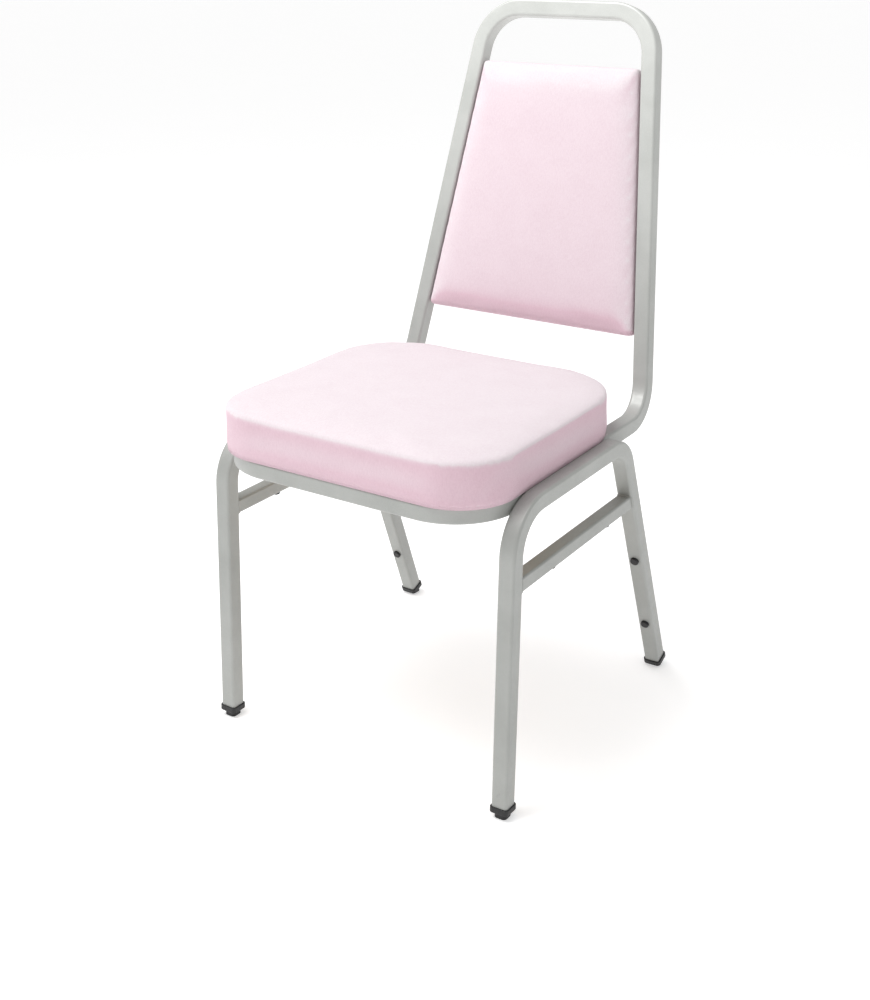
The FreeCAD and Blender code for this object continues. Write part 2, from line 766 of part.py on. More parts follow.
def make_back():
    skin = cell("cover_skin")
    base = cell("pad_base")
    front = base + cell("pad_thickness")
    board_back = base - cell("back_board_thickness")
    panel_back = board_back - cell("back_panel_thickness")
    rounding = cell("pad_rounding")
    spots = back_spots()

    board = back_block("back_board", skin, board_back, cell("back_board_thickness"))
    cut_tee_holes(board, "XZ_Plane", base, spots)
    add_pocket(board, draw_holes(board, "XZ_Plane", base, clip_spots(), cell("clip_radius")), midplane=True)
    place(board, SLOPE_OF_BACK)

    foam = back_block("back_foam", skin, base, front - skin - base, rounding - skin)
    place(foam, SLOPE_OF_BACK)

    outer = back_block("whole_back_cover", ZERO, board_back, front - board_back, rounding)
    inner = back_block("hollow_back_cover", skin, board_back, front - skin - board_back, rounding - skin)
    for block in (outer, inner):
        place(block, SLOPE_OF_BACK, kept=False)
    cut_away("back_cover", outer, inner)

    panel = back_block("rear_panel", ZERO, panel_back, cell("back_panel_thickness"))
    cut_tab_pockets(panel, board_back)
    clip_holes = draw_holes(panel, "XZ_Plane", board_back, clip_spots(), cell("clip_radius"))
    add_pocket(panel, clip_holes, cell("clip_length") / 2)
    place(panel, SLOPE_OF_BACK)

    tab_back = board_back - cell("tab_thickness")
    screw_length = size("tab_thickness") + size("back_board_thickness") - size("tee_flange_thickness")
    clip_back = board_back - cell("clip_length") / 2 + cell("hole_clearance")
    clip = Part.makeCylinder(size("clip_radius"), size("clip_length"))
    for label, solid, places, forward in (
        ("back_screws", screw(screw_length), spots, tab_back),
        ("back_tee_nuts", tee_nut(), spots, base),
        ("panel_clips", clip, clip_spots(), clip_back),
    ):
        here = [from_behind(x, climb, forward) for x, climb in places]
        make_group(label, repeat(solid, here), SLOPE_OF_BACK)
    make_group("back_fixing_tabs", [back_tab(x, climb, tab_back) for x, climb in spots], SLOPE_OF_BACK)


def clip_spots():
    half = cell("clip_half_spacing")
    return [(x, climb) for climb in (cell("clip_low"), cell("clip_high")) for x in (-half, half)]


def cut_tab_pockets(panel, forward):
    """Recesses in the rear panel's front that clear the tabs and the screw heads."""
    pockets = new_sketch(panel, "XZ_Plane", at_z(forward))
    margin = cell("pocket_margin")
    for x, climb in back_spots():
        sign = math.copysign(1, float(x))
        inner = x - margin * sign
        outer = x + cell("back_fix_inset") * 2 * sign
        low, high = climb - margin, climb + margin
        draw_outline(pockets, [(inner, low), (outer, low), (outer, high), (inner, high)], [0] * 4)
    add_pocket(panel, pockets, cell("tab_thickness") + cell("screw_head_height") + cell("hole_clearance"))


def back_tab(x, climb, back):
    """A plate welded to the inner face of an upright, behind the back board."""
    sign = math.copysign(1, float(x))
    climb = float(climb)
    half = size("tab_edge")
    corners = []
    for height, outside in ((-half, False), (-half, True), (half, True), (half, False)):
        reach = float(upright_inner(climb + height)) * sign if outside else float(x) - half * sign
        corners.append(Vector(reach, climb + height, 0))
    plate = plate_with_hole(corners, size("tab_thickness"), Vector(float(x), climb, 0))
    return moved(plate, from_behind(0, 0, back))


make_leg_frame("left_leg_frame", -1)
make_leg_frame("right_leg_frame", 1)
make_seat_front_tube()
make_back_tube()
make_stretcher("left_stretcher", -1)
make_stretcher("right_stretcher", 1)
make_straight_tube(
    "rear_cross_rail", cell("tube_side"), cell("tube_corner"),
    cell("rail_half_spacing") - cell("tube_side") / 2,
    Placement(Vector(0, size("cross_rail_depth"), RAIL_Z), Rotation()),
)
for side_name, side in (("left", -1), ("right", 1)):
    make_foot_cap(f"front_{side_name}_foot_cap", side, 0, -FRONT_LEAN)
    make_foot_cap(f"rear_{side_name}_foot_cap", side, size("rear_foot"), REAR_LEAN)
    make_stretcher_bumpers(f"{side_name}_stretcher_bumpers", side)
    make_leg_bumpers(f"{side_name}_rear_leg_bumpers", side)
make_seat()
make_back()


# ------------------------------------------------------------------------- export

doc.recompute()
for part in doc.Objects:
    if {"Invalid", "Error"} & set(part.State):
        raise RuntimeError(f"{part.Label} failed: {part.State}")
for node in NODES:
    if node.Shape.isNull() or not node.Shape.isValid():
        raise RuntimeError(f"{node.Label} has no valid shape")
os.makedirs("parts", exist_ok=True)
for node in NODES:
    node.Shape.exportStep(f"parts/{node.Label}.step")
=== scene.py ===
"""Stacking banquet chair: upholstery, finishes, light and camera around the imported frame.

Metres, in the frame of the CAD model: +Z up, the sitter faces -Y, the floor is Z 0.
"""

import json
import math

import bmesh
import bpy
import numpy as np
from mathutils import Matrix, Vector


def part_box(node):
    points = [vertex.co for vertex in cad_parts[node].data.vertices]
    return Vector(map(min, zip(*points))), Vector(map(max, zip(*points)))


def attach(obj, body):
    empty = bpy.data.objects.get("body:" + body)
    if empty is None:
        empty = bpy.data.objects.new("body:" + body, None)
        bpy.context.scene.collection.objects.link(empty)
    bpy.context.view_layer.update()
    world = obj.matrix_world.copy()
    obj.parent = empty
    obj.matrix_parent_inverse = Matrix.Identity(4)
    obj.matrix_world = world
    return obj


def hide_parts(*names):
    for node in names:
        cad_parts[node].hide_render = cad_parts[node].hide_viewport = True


MM = 0.001
ROOT = "root"

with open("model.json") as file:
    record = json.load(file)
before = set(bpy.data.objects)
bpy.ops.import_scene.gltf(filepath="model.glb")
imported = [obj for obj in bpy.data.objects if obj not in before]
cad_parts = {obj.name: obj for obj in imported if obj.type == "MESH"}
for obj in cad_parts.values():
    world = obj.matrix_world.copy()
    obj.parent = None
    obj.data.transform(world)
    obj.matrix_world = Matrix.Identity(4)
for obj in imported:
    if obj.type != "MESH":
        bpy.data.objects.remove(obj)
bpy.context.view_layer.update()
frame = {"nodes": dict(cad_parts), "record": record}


# ------------------------------------------------------------------ node materials


class Shader:
    """A new material with a Principled shader, and short calls that add nodes to it."""

    def __init__(self, name):
        self.material = bpy.data.materials.new(name)
        self.material.use_nodes = True
        self.tree = self.material.node_tree
        self.principled = self.tree.nodes["Principled BSDF"]
        self.position = self.tree.nodes.new("ShaderNodeTexCoord").outputs["Object"]

    def _plug(self, value, socket):
        if isinstance(value, bpy.types.NodeSocket):
            self.tree.links.new(value, socket)
        else:
            socket.default_value = value

    def set(self, **values):
        """Sets or links inputs of the Principled shader."""
        for name, value in values.items():
            self._plug(value, self.principled.inputs[name.replace("_", " ")])

    def math(self, operation, a, b=0.0, c=0.0):
        node = self.tree.nodes.new("ShaderNodeMath")
        node.operation = operation
        for value, socket in zip((a, b, c), node.inputs):
            self._plug(value, socket)
        return node.outputs[0]

    def vector(self, operation, a, b):
        node = self.tree.nodes.new("ShaderNodeVectorMath")
        node.operation = operation
        self._plug(a, node.inputs[0])
        self._plug(b, node.inputs[1])
        return node.outputs["Vector"]

    def split(self, vector):
        node = self.tree.nodes.new("ShaderNodeSeparateXYZ")
        self._plug(vector, node.inputs[0])
        return node.outputs

    def join(self, x, y, z):
        node = self.tree.nodes.new("ShaderNodeCombineXYZ")
        for value, socket in zip((x, y, z), node.inputs):
            self._plug(value, socket)
        return node.outputs[0]

    def noise(self, scale, detail=2.0, roughness=0.5, vector=None):
        node = self.tree.nodes.new("ShaderNodeTexNoise")
        self._plug(self.position if vector is None else vector, node.inputs["Vector"])
        for name, value in (("Scale", scale), ("Detail", detail), ("Roughness", roughness)):
            node.inputs[name].default_value = value
        return node.outputs["Fac"]

    def cells(self, scale):
        node = self.tree.nodes.new("ShaderNodeTexVoronoi")
        self._plug(self.position, node.inputs["Vector"])
        node.inputs["Scale"].default_value = scale
        return node.outputs["Distance"]

    def remap(self, value, low, high, to_low=0.0, to_high=1.0):
        node = self.tree.nodes.new("ShaderNodeMapRange")
        for name, number in (
            ("Value", value), ("From Min", low), ("From Max", high), ("To Min", to_low), ("To Max", to_high),
        ):
            self._plug(number, node.inputs[name])
        return node.outputs[0]

    def choose(self, second, a, b):
        """The number a where second is 0, and b where it is 1."""
        return self.math("MULTIPLY_ADD", second, self.math("SUBTRACT", b, a), a)

    def mix(self, amount, a, b):
        """A colour between a and b."""
        node = self.tree.nodes.new("ShaderNodeMix")
        node.data_type = "RGBA"
        colours = [s for s in node.inputs if s.type == "RGBA"]
        self._plug(amount, node.inputs[0])
        for value, socket in zip((a, b), colours):
            self._plug(value if isinstance(value, bpy.types.NodeSocket) else (*value, 1.0), socket)
        return next(s for s in node.outputs if s.type == "RGBA")

    def multiply(self, a, b):
        """The product of two colours."""
        node = self.tree.nodes.new("ShaderNodeMix")
        node.data_type = "RGBA"
        node.blend_type = "MULTIPLY"
        node.inputs[0].default_value = 1.0
        colours = [s for s in node.inputs if s.type == "RGBA"]
        self._plug(a, colours[0])
        self._plug(b, colours[1])
        return next(s for s in node.outputs if s.type == "RGBA")

    def bump(self, height, distance, strength=1.0, under=None):
        node = self.tree.nodes.new("ShaderNodeBump")
        node.inputs["Strength"].default_value = strength
        node.inputs["Distance"].default_value = distance
        self._plug(height, node.inputs["Height"])
        if under is not None:
            self._plug(under, node.inputs["Normal"])
        return node.outputs[0]


PAINT_LIGHT = (0.455, 0.465, 0.445)
PAINT_DARK = (0.395, 0.405, 0.385)
PAINT_PRIMER = (0.22, 0.22, 0.21)
# Painted light and shade for the cloth: the pink for faces that face up is lighter, the pink for the sides
# darker.
PINK_PAINTED_LIGHT_TOP = (0.845, 0.770, 0.800)
PINK_PAINTED_SHADE_SIDE = (0.80, 0.585, 0.66)
THREAD_SHADOW = (0.82, 0.74, 0.77)


def paint_material():
    """Silver-grey stove enamel: orange peel, faint flecks and a little rubbing near the floor.
    Painted shade darkens it low on the legs and painted light lightens it towards the hoop."""
    s = Shader("frame_paint")
    cloud = s.noise(14.0, 3.0, 0.55)
    fleck = s.remap(s.noise(2600.0, 1.0), 0.45, 0.75)
    colour = s.mix(s.remap(cloud, 0.35, 0.68), PAINT_DARK, PAINT_LIGHT)
    colour = s.mix(s.math("MULTIPLY", fleck, 0.22), colour, (0.78, 0.79, 0.77))
    height = s.split(s.position)[2]
    # Painted light and shade: the colour is multiplied darker low on the frame and lighter towards the hoop.
    shade = s.mix(s.remap(height, 0.30, 0.90), (0.80, 0.80, 0.80), (1.26, 1.26, 1.26))
    colour = s.multiply(colour, shade)
    low_down = s.remap(height, 0.16, 0.0)
    rubbed = s.remap(s.noise(90.0, 6.0, 0.7), 0.60, 0.68)
    streaks = s.noise(1.0, 4.0, 0.6, s.vector("MULTIPLY", s.position, (420.0, 420.0, 40.0)))
    scuffed = s.math("MULTIPLY", s.math("MULTIPLY", rubbed, s.remap(streaks, 0.52, 0.60)), low_down)
    colour = s.mix(s.math("MULTIPLY", scuffed, 0.55), colour, PAINT_PRIMER)
    s.set(Base_Color=colour, Metallic=0.15, Roughness=s.remap(s.noise(220.0, 3.0), 0.3, 0.7, 0.36, 0.50))
    s.set(Specular_IOR_Level=0.5, Coat_Weight=0.12, Coat_Roughness=0.25)
    peel = s.noise(520.0, 2.0, 0.45)
    fine = s.noise(2400.0, 2.0, 0.5)
    relief = s.math("ADD", peel, s.math("MULTIPLY", fine, 0.25))
    s.set(Normal=s.bump(relief, 0.00012, 0.55))
    return s.material


def fabric_material(thread=0.00085):
    """Plain-woven upholstery cloth: two sets of threads that pass over and under each other.
    Painted light makes it paler where it faces up, and painted shade makes it darker on its sides."""
    s = Shader("upholstery_fabric")
    normal = s.tree.nodes.new("ShaderNodeNewGeometry").outputs["Normal"]
    painted_light_facing = s.split(normal)[2]
    nx, ny, nz = [s.math("ABSOLUTE", v) for v in s.split(normal)]
    x, y, z = s.split(s.position)
    wobble = s.math("MULTIPLY", s.math("SUBTRACT", s.noise(45.0, 2.0), 0.5), 0.0011)
    faces_up = s.math("GREATER_THAN", nz, s.math("MAXIMUM", nx, ny))
    faces_side = s.math("GREATER_THAN", nx, ny)
    u = s.choose(faces_up, s.choose(faces_side, x, y), x)
    v = s.choose(faces_up, z, y)
    pitch = math.pi / thread
    across = s.math("MULTIPLY", s.math("ADD", u, wobble), pitch)
    along = s.math("MULTIPLY", s.math("ADD", v, wobble), pitch)
    warp = s.math("ABSOLUTE", s.math("SINE", across))
    weft = s.math("ABSOLUTE", s.math("SINE", along))
    checker = s.math("GREATER_THAN", s.math("MULTIPLY", s.math("SINE", across), s.math("SINE", along)), 0.0)
    weave = s.choose(checker, weft, warp)
    slub = s.noise(1.0, 3.0, 0.6, s.join(s.math("MULTIPLY", u, 700.0), s.math("MULTIPLY", v, 160.0), 0.0))
    cloud = s.noise(26.0, 4.0, 0.6)
    mottle = s.noise(420.0, 3.0, 0.65)
    # Painted shadow between the threads of the weave, mixed with random tone from slub, mottle and cloud.
    shade = s.math("MULTIPLY_ADD", weave, 0.30, s.math("MULTIPLY", slub, 0.30))
    shade = s.math("ADD", shade, s.math("MULTIPLY", mottle, 0.28))
    shade = s.math("ADD", shade, s.math("MULTIPLY", cloud, 0.18))
    # Painted light and shade: paler pink where the surface faces up, darker pink on its sides.
    colour = s.mix(s.remap(painted_light_facing, 0.02, 0.32), PINK_PAINTED_SHADE_SIDE, PINK_PAINTED_LIGHT_TOP)
    shadow = s.mix(s.remap(shade, 0.25, 0.70), THREAD_SHADOW, (1.0, 1.0, 1.0))
    s.set(Base_Color=s.multiply(colour, shadow))
    s.set(Roughness=s.remap(mottle, 0.3, 0.7, 0.82, 0.95), Specular_IOR_Level=0.25)
    s.set(Sheen_Weight=0.25, Sheen_Roughness=0.5)
    coarse = s.bump(s.noise(30.0, 3.0, 0.5), 0.0008, 0.35)
    relief = s.math("ADD", weave, s.math("MULTIPLY", mottle, 0.8))
    s.set(Normal=s.bump(relief, 0.00022, 0.8, coarse))
    return s.material


def plastic_material():
    """Black moulded plastic with a fine spark-eroded grain, greyed where it is scuffed."""
    s = Shader("black_plastic")
    grain = s.noise(3200.0, 2.0, 0.5)
    scuff = s.math("MULTIPLY", s.remap(s.noise(160.0, 5.0, 0.7), 0.56, 0.70), 0.35)
    s.set(Base_Color=s.mix(scuff, (0.012, 0.012, 0.013), (0.07, 0.07, 0.068)))
    s.set(Roughness=s.remap(s.noise(300.0, 3.0), 0.3, 0.7, 0.38, 0.58), Specular_IOR_Level=0.45)
    s.set(Normal=s.bump(grain, 0.00008, 0.6))
    return s.material


def zinc_material():
    """Bright zinc plate: pale, slightly clouded steel."""
    s = Shader("zinc_plate")
    cloud = s.noise(240.0, 4.0, 0.6)
    s.set(Base_Color=s.mix(s.remap(cloud, 0.35, 0.65), (0.50, 0.50, 0.47), (0.70, 0.70, 0.68)))
    s.set(Metallic=1.0)
    s.set(Roughness=s.remap(cloud, 0.3, 0.7, 0.28, 0.46))
    s.set(Normal=s.bump(s.noise(1800.0, 2.0), 0.00004, 0.5))
    return s.material


def plywood_material():
    """Birch plywood, with veneer grain along X."""
    s = Shader("plywood")
    grain = s.noise(1.0, 6.0, 0.65, s.vector("MULTIPLY", s.position, (9.0, 170.0, 170.0)))
    figure = s.noise(1.0, 3.0, 0.5, s.vector("MULTIPLY", s.position, (3.0, 30.0, 30.0)))
    mixed = s.math("ADD", s.math("MULTIPLY", grain, 0.6), s.math("MULTIPLY", figure, 0.5))
    colour = s.mix(s.remap(mixed, 0.38, 0.72), (0.38, 0.235, 0.125), (0.66, 0.47, 0.29))
    pores = s.noise(1.0, 2.0, 0.5, s.vector("MULTIPLY", s.position, (60.0, 1500.0, 1500.0)))
    colour = s.mix(s.math("MULTIPLY", s.remap(pores, 0.62, 0.72), 0.4), colour, (0.22, 0.13, 0.07))
    s.set(Base_Color=colour, Roughness=s.remap(grain, 0.3, 0.7, 0.62, 0.80), Specular_IOR_Level=0.3)
    s.set(Normal=s.bump(grain, 0.0002, 0.5))
    return s.material


def foam_material():
    """Cut polyurethane foam: open cells."""
    s = Shader("cut_foam")
    cell = s.cells(900.0)
    s.set(Base_Color=s.mix(s.remap(cell, 0.0, 0.7), (0.55, 0.47, 0.28), (0.84, 0.77, 0.58)))
    s.set(Roughness=0.95)
    s.set(Normal=s.bump(cell, 0.0006, 0.8))
    return s.material


def floor_material():
    """A plain, very pale seamless floor."""
    s = Shader("studio_floor")
    s.set(Base_Color=s.mix(s.noise(3.0, 3.0), (0.86, 0.86, 0.86), (0.88, 0.88, 0.88)), Roughness=0.7)
    s.set(Emission_Color=(1.0, 1.0, 1.0, 1.0), Emission_Strength=0.43)
    return s.material


FINISHES = {
    "frame_paint": paint_material(),
    "upholstery_fabric": fabric_material(),
    "black_plastic": plastic_material(),
    "zinc_plated_steel": zinc_material(),
    "plywood": plywood_material(),
    "foam": foam_material(),
}


def finish_cad_nodes():
    """Gives every node of the frame the material of its slot."""
    for part in frame["record"]["subparts"]:
        node = frame["nodes"][part["node"]]
        node.data.materials.clear()
        node.data.materials.append(FINISHES[part["material_slot"]])


def new_piece(name, slot, verts, faces):
    """A mesh piece of the object, with the material of its slot."""
    mesh = bpy.data.meshes.new(name)
    mesh.from_pydata([tuple(v) for v in verts], [], faces)
    mesh.validate()
    mesh.polygons.foreach_set("use_smooth", [True] * len(mesh.polygons))
    mesh.materials.append(FINISHES[slot])
    piece = bpy.data.objects.new(name, mesh)
    bpy.context.scene.collection.objects.link(piece)
    return piece


# ------------------------------------------------------------------------ upholstery


def rounded_outline(corners, radii, step=3.0 * MM):
    """Points round a polygon, its corners rounded, as a list of (x, y)."""
    points = []
    count = len(corners)
    for i, (corner, radius) in enumerate(zip(corners, radii)):
        here = Vector(corner)
        before = (Vector(corners[i - 1]) - here).normalized()
        after = (Vector(corners[(i + 1) % count]) - here).normalized()
        half = before.angle(after) / 2
        reach = radius / math.tan(half)
        centre = here + (before + after).normalized() * (radius / math.sin(half))
        start, end = here + before * reach - centre, here + after * reach - centre
        turn = start.angle_signed(end)
        steps = max(2, int(abs(turn) * radius / step))
        for k in range(steps + 1):
            arm = start.copy()
            arm.rotate(Matrix.Rotation(-turn * k / steps, 2))
            points.append(centre + arm)
    return points


def slab(name, outline, low, high, rounding):
    """A closed block of an outline between two heights, its upper edge rounded."""
    mesh = bmesh.new()
    bottom = [mesh.verts.new((p.x, p.y, low)) for p in outline]
    top = [mesh.verts.new((p.x, p.y, high)) for p in outline]
    count = len(outline)
    mesh.faces.new(list(reversed(bottom)))
    lid = mesh.faces.new(top)
    for i in range(count):
        j = (i + 1) % count
        mesh.faces.new((bottom[i], bottom[j], top[j], top[i]))
    rim = list(lid.edges)
    bmesh.ops.bevel(mesh, geom=rim, offset=rounding, segments=4, profile=0.5, affect="EDGES")
    bmesh.ops.recalc_face_normals(mesh, faces=mesh.faces)
    data = bpy.data.meshes.new(name)
    mesh.to_mesh(data)
    mesh.free()
    piece = bpy.data.objects.new(name, data)
    bpy.context.scene.collection.objects.link(piece)
    return piece


def coordinates(mesh):
    co = np.zeros(len(mesh.vertices) * 3)
    mesh.vertices.foreach_get("co", co)
    return co.reshape(-1, 3)


def store(mesh, co):
    mesh.vertices.foreach_set("co", co.ravel())
    mesh.update()


def evaluated(piece):
    """A copy of the piece's mesh with its modifiers applied."""
    graph = bpy.context.evaluated_depsgraph_get()
    return bpy.data.meshes.new_from_object(piece.evaluated_get(graph))


def apply_modifiers(piece):
    made = evaluated(piece)
    piece.modifiers.clear()
    old = piece.data
    piece.data = made
    bpy.data.meshes.remove(old)


def even_out(mesh, vectors, rounds):
    """Averages one vector per vertex with its neighbours' a number of times."""
    ends = np.zeros(len(mesh.edges) * 2, int)
    mesh.edges.foreach_get("vertices", ends)
    ends = ends.reshape(-1, 2)
    count = np.bincount(ends.ravel(), minlength=len(vectors))[:, None]
    for _ in range(rounds):
        total = np.zeros_like(vectors)
        np.add.at(total, ends[:, 0], vectors[ends[:, 1]])
        np.add.at(total, ends[:, 1], vectors[ends[:, 0]])
        vectors = (vectors + total / np.maximum(count, 1)) / 2
    return vectors


def stuff(piece, voxel, pressure, most, held_below, sideways=1.0):
    """Remeshes a block and blows it up a little as cloth: it crowns between its edges, and what is below
    held_below stays put. most caps how far a point moves. sideways is the share of the movement across the
    block that is kept."""
    remesh = piece.modifiers.new("Remesh", "REMESH")
    remesh.mode = "VOXEL"
    remesh.voxel_size = voxel
    apply_modifiers(piece)
    rest = coordinates(piece.data)
    held = rest[:, 2] < held_below
    group = piece.vertex_groups.new(name="base")
    group.add([int(i) for i in np.nonzero(held)[0]], 1.0, "REPLACE")
    cloth = piece.modifiers.new("Cloth", "CLOTH")
    cloth.settings.quality = 5
    cloth.settings.mass = 0.3
    cloth.settings.use_pressure = True
    cloth.settings.uniform_pressure_force = pressure
    cloth.settings.effector_weights.gravity = 0.0
    cloth.settings.vertex_group_mass = "base"
    cloth.point_cache.frame_start = 1
    cloth.point_cache.frame_end = SIMULATED_FRAMES
    scene = bpy.context.scene
    for number in range(1, SIMULATED_FRAMES + 1):
        scene.frame_set(number)
    blown = evaluated(piece)
    moved = coordinates(blown) - rest
    bpy.data.meshes.remove(blown)
    piece.modifiers.clear()
    piece.vertex_groups.clear()
    scene.frame_set(1)
    length = np.linalg.norm(moved, axis=1, keepdims=True)
    moved *= most * np.tanh(length / most) / np.maximum(length, 1e-9)
    moved = even_out(piece.data, moved, EVENING_ROUNDS)
    moved[held] *= 0.0
    moved[:, :2] *= sideways
    store(piece.data, rest + moved)


def subdivide(piece):
    smooth = piece.modifiers.new("Smooth", "SUBSURF")
    smooth.levels = smooth.render_levels = 1
    apply_modifiers(piece)


def dress(piece, slot):
    """The last steps for a cushion: smooth shading and the material of its slot."""
    piece.data.materials.clear()
    piece.data.materials.append(FINISHES[slot])
    piece.data.polygons.foreach_set("use_smooth", [True] * len(piece.data.polygons))


SIMULATED_FRAMES, EVENING_ROUNDS = 20, 12
PRESSURE, PANEL_PRESSURE = 4.0, 2.0
SEAT_VOXEL, BACK_VOXEL = 4.5 * MM, 3.5 * MM
SEAT_EDGE, BACK_EDGE, PANEL_EDGE = 9 * MM, 6 * MM, 3 * MM
SEAT_CROWN, BACK_CROWN = 6 * MM, 7 * MM
PULL_DEPTH, PULL_PITCH, PULL_FADE = 0.9 * MM, 13.5 * MM, 13 * MM
TURNED_WIDTH, LIP_HEIGHT, LIP_SLANT = 32 * MM, 8 * MM, 0.05
TURNED_TOP, TURNED_BOTTOM, GATHER_DEPTH, GATHER_REACH = 0.2 * MM, 0.9 * MM, 0.7 * MM, 120 * MM
SEAT_FRONT_RADIUS, SEAT_BACK_RADIUS = 76 * MM, 100 * MM
RECLINE = math.atan(0.2136)
TAPER = 0.1334 * math.cos(RECLINE)
PAD_BOTTOM, PAD_TOP = 102 * MM, 447 * MM
PAD_BASE, PAD_FRONT, PAD_CORNER = 3 * MM, 15 * MM, 6 * MM
PANEL_FRONT, PANEL_BACK, LAP = -5 * MM, -13 * MM, 1.2 * MM


def seat_outline(inset):
    """The seat's rounded outline, with its sharp corners and their radii."""
    low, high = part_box("seat_cover")
    corners = [
        (low.x + inset, low.y + inset), (high.x - inset, low.y + inset),
        (high.x - inset, high.y - inset), (low.x + inset, high.y - inset),
    ]
    radii = [SEAT_FRONT_RADIUS - inset] * 2 + [SEAT_BACK_RADIUS - inset] * 2
    return rounded_outline(corners, radii), corners, radii


def pull_corners(co, base, corners, radii):
    """Shallow pulls in the cloth at the foot of each rounded corner, where it is gathered under the board."""
    middle = np.mean(np.array(corners), axis=0)
    for (x, y), radius in zip(corners, radii):
        sx, sy = np.sign(x - middle[0]), np.sign(y - middle[1])
        dx = (co[:, 0] - (x - sx * radius)) * sx
        dy = (co[:, 1] - (y - sy * radius)) * sy
        reach = np.hypot(dx, dy)
        at_corner = (dx > 0) & (dy > 0) & (reach > radius - 8 * MM)
        angle = np.arctan2(dy, dx)
        share = np.sin(2 * angle) ** 2
        fade = np.exp(-np.clip(co[:, 2] - base, 0, None) / PULL_FADE)
        ripple = 0.5 + 0.5 * np.cos(angle * radius * 2 * math.pi / PULL_PITCH)
        pull = np.where(at_corner, PULL_DEPTH * share * fade * ripple, 0.0)
        co[:, 0] -= pull * sx * np.cos(angle)
        co[:, 1] -= pull * sy * np.sin(angle)


def bare_the_board(co, outline, base):
    """Lifts the underside into the board, so that the board shows below within the turned edge."""
    edge = np.array([tuple(p) for p in outline])
    gap = np.min(np.hypot(co[:, :1] - edge[:, 0], co[:, 1:2] - edge[:, 1]), axis=1)
    co[(co[:, 2] < base + 1 * MM) & (gap > 8 * MM), 2] = base + 2 * MM


def make_seat_cushion():
    low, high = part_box("seat_cover")
    outline, corners, radii = seat_outline(0.3 * MM)
    cushion = slab("seat_cushion", outline, low.z - 0.4 * MM, high.z - 3 * MM, SEAT_EDGE)
    stuff(cushion, SEAT_VOXEL, PRESSURE, 4 * MM, low.z + 4 * MM, sideways=0.5)
    co = coordinates(cushion.data)
    middle = (np.array(low) + np.array(high)) / 2
    across = (co[:, 0] - middle[0]) / (high.x - middle[0])
    along = (co[:, 1] - middle[1]) / (high.y - middle[1])
    crown = np.clip(1 - across ** 2, 0, 1) * np.clip(1 - along ** 2, 0, 1)
    lift = np.clip((co[:, 2] - low.z) / (high.z - low.z), 0, 1)
    co[:, 2] += SEAT_CROWN * crown * lift ** 3
    pull_corners(co, low.z, corners, radii)
    bare_the_board(co, outline, low.z)
    store(cushion.data, co)
    subdivide(cushion)
    add_turned_edge(cushion, low.z)
    dress(cushion, "upholstery_fabric")
    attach(cushion, ROOT)
    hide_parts("seat_cover", "seat_foam")


def add_turned_edge(cushion, base):
    """Joins to the cushion the border of cloth that is turned under the board, gathered at the corners.
    Its outer edge stands up as a lip that wraps the board's edge."""
    outer = seat_outline(1.2 * MM)[0]
    inner = seat_outline(TURNED_WIDTH)[0]
    low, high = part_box("seat_cover")
    middle_y = (low.y + high.y) / 2
    count = len(outer)
    steps = 5
    verts, faces = [], []
    for i, edge in enumerate(outer):
        near = inner[min(range(len(inner)), key=lambda k: (inner[k] - edge).length)]
        bend = min(abs(edge.x) / GATHER_REACH, 1.0) * min(abs(edge.y - middle_y) / GATHER_REACH, 1.0)
        ragged = 1.0 + 0.05 * math.sin(i * 0.9) + 0.03 * math.sin(i * 2.3 + 1.0)
        for k in range(steps + 1):
            share = k / steps
            p = edge.lerp(near, share * ragged)
            gather = GATHER_DEPTH * bend ** 4 * share * (0.5 + 0.5 * math.sin(i * 1.9))
            verts.append((p.x, p.y, base - TURNED_BOTTOM - gather))
        for k in range(steps, 0, -1):
            p = edge.lerp(near, k / steps * ragged)
            verts.append((p.x, p.y, base + TURNED_TOP))
        p = edge.lerp(near, LIP_SLANT)
        verts.append((p.x, p.y, base + LIP_HEIGHT))
    ring = 2 * (steps + 1)
    for i in range(count):
        j = (i + 1) % count
        for k in range(ring):
            m = (k + 1) % ring
            faces.append((i * ring + k, j * ring + k, j * ring + m, i * ring + m))
    mesh = bmesh.new()
    mesh.from_mesh(cushion.data)
    made = [mesh.verts.new(v) for v in verts]
    new_faces = [mesh.faces.new([made[i] for i in face]) for face in faces]
    bmesh.ops.recalc_face_normals(mesh, faces=new_faces)
    mesh.to_mesh(cushion.data)
    mesh.free()


def back_origin():
    """Where the plane of the back meets the rail height, from the boxes of its panels."""
    rise, run = math.cos(RECLINE), math.sin(RECLINE)
    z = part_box("back_cover")[0].z - PAD_BOTTOM * rise - PANEL_FRONT * run
    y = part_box("rear_panel")[1].y - PAD_TOP * run + PANEL_BACK * rise
    return Vector((0, y, z))


def back_frame():
    """From the plane of the back (across, up the slope, forward) to the row frame."""
    up = Vector((0, math.sin(RECLINE), math.cos(RECLINE)))
    forward = Vector((0, -math.cos(RECLINE), math.sin(RECLINE)))
    turn = Matrix((Vector((1, 0, 0)), up, forward)).transposed().to_4x4()
    return Matrix.Translation(back_origin()) @ turn


def back_outline(inset):
    """The trapezium of the back, in its own plane."""
    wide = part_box("back_cover")[1].x - inset
    narrow = wide - TAPER * (PAD_TOP - PAD_BOTTOM)
    corners = [
        (-wide, PAD_BOTTOM + inset), (wide, PAD_BOTTOM + inset),
        (narrow, PAD_TOP - inset), (-narrow, PAD_TOP - inset),
    ]
    return rounded_outline(corners, [PAD_CORNER] * 4)


